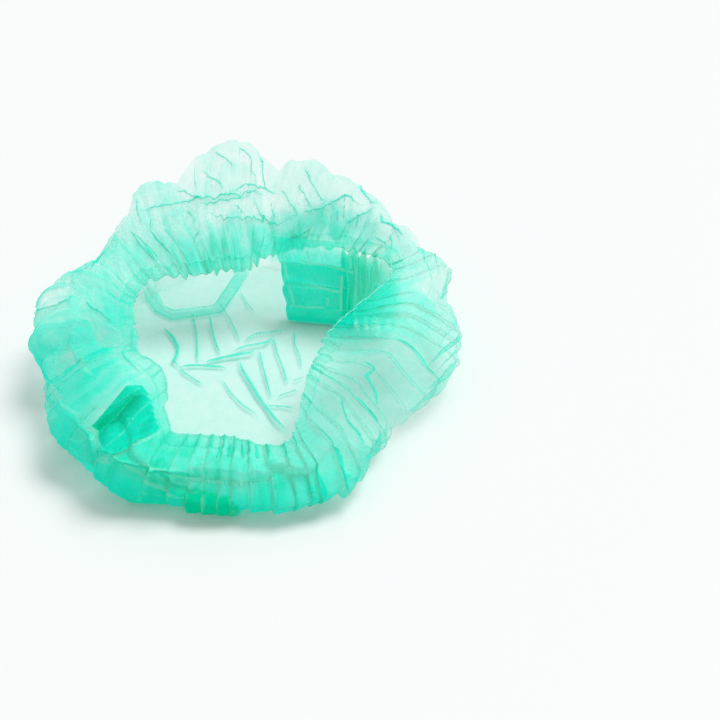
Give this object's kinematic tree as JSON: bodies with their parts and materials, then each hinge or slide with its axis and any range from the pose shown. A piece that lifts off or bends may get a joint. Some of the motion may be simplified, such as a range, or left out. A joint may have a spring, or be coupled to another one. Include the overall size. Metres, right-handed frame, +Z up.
{
  "type": "disposable hair cover cap",
  "caption": "Pleated disposable hair cover cap, opened and lying mouth up, with elastic hems that meet in a crimped seal at each side.",
  "frame": {"origin": "middle of the flat floor that the crown rests on", "axes": "+Z up out of the mouth, +X towards the right seal's side, -Y towards the low front of the rim"},
  "size_m": [0.2369, 0.2328, 0.0906],
  "materials": {
    "fabric": "thin spunbonded nonwoven, translucent, finely crinkled",
    "hem": "two plies of the same nonwoven, gathered",
    "elastic": "thin covered elastic thread",
    "seal": "many plies welded and crimped flat"
  },
  "bodies": {
    "root": {"crown": "fabric", "hem_front": "hem", "hem_back": "hem", "elastic_front": "elastic", "elastic_back": "elastic", "pleat_stack_right": "fabric", "pleat_stack_left": "fabric", "end_seal_left": "seal", "end_seal_right": "seal"}
  },
  "joints": []
}
